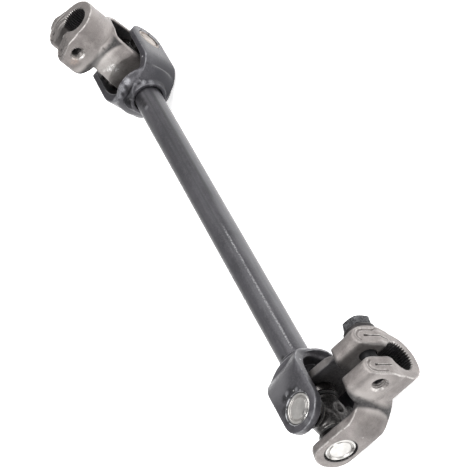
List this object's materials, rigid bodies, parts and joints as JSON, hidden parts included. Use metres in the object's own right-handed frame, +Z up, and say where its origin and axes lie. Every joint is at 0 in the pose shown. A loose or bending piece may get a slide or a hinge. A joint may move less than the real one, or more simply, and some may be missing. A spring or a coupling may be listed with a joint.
{
  "type": "steering shaft",
  "caption": "Intermediate steering shaft: a round dark bar with a universal joint at each end, each ending in a splined pinch-clamp yoke, the lower one holding its bolt.",
  "frame": {"origin": "bottom centre of the bounding box, on the surface that the shaft lies on", "axes": "+X along the bar towards the joint whose clamp holds the bolt, +Z up"},
  "size_m": [0.3638, 0.074, 0.0666],
  "materials": {
    "black_finish": "satin dark grey coating",
    "bare_steel": "dull bare steel with a light warm cast",
    "ground_steel": "bright ground steel",
    "forged_steel": "dark oiled steel",
    "seal_rubber": "matte black",
    "dark_bolt": "black oxide"
  },
  "bodies": {
    "bar": {"lower_shaft_a_cup": "ground_steel", "lower_shaft_a_needles": "ground_steel", "lower_shaft_b_cup": "ground_steel", "lower_shaft_b_needles": "ground_steel", "lower_shaft_yoke": "black_finish", "shaft": "black_finish", "upper_shaft_a_cup": "ground_steel", "upper_shaft_a_needles": "ground_steel", "upper_shaft_b_cup": "ground_steel", "upper_shaft_b_needles": "ground_steel", "upper_shaft_yoke": "black_finish"},
    "lower_cross_body": {"lower_clamp_a_seal": "seal_rubber", "lower_clamp_b_seal": "seal_rubber", "lower_cross": "forged_steel", "lower_shaft_a_seal": "seal_rubber", "lower_shaft_b_seal": "seal_rubber"},
    "lower_clamp_body": {"lower_clamp_a_cup": "ground_steel", "lower_clamp_a_needles": "ground_steel", "lower_clamp_b_cup": "ground_steel", "lower_clamp_b_needles": "ground_steel", "lower_clamp_yoke": "bare_steel", "lower_pinch_bolt": "dark_bolt"},
    "upper_cross_body": {"upper_clamp_a_seal": "seal_rubber", "upper_clamp_b_seal": "seal_rubber", "upper_cross": "forged_steel", "upper_shaft_a_seal": "seal_rubber", "upper_shaft_b_seal": "seal_rubber"},
    "upper_clamp_body": {"upper_clamp_a_cup": "ground_steel", "upper_clamp_a_needles": "ground_steel", "upper_clamp_b_cup": "ground_steel", "upper_clamp_b_needles": "ground_steel", "upper_clamp_yoke": "bare_steel"}
  },
  "joints": [
    {"name": "lower_fork_hinge", "type": "hinge", "parent": "bar", "child": "lower_cross_body", "pos_m": [0.15838, -0.01502, 0.02155], "axis": [-0.016, 0.1082, 0.994], "range_deg": [-170, 10]},
    {"name": "lower_clamp_hinge", "type": "hinge", "parent": "lower_cross_body", "child": "lower_clamp_body", "pos_m": [0.15838, -0.01502, 0.02155], "axis": [0.9867, -0.1589, 0.0332], "range_deg": [-9, 15]},
    {"name": "upper_fork_hinge", "type": "hinge", "parent": "bar", "child": "upper_cross_body", "pos_m": [-0.16058, -0.01502, 0.01643], "axis": [0.0036, 0.9745, -0.2244], "range_deg": [-178, 3]},
    {"name": "upper_clamp_hinge", "type": "hinge", "parent": "upper_cross_body", "child": "upper_clamp_body", "pos_m": [-0.16058, -0.01502, 0.01643], "axis": [0.9992, 0.0055, 0.0399], "range_deg": [-4, 18]}
  ]
}
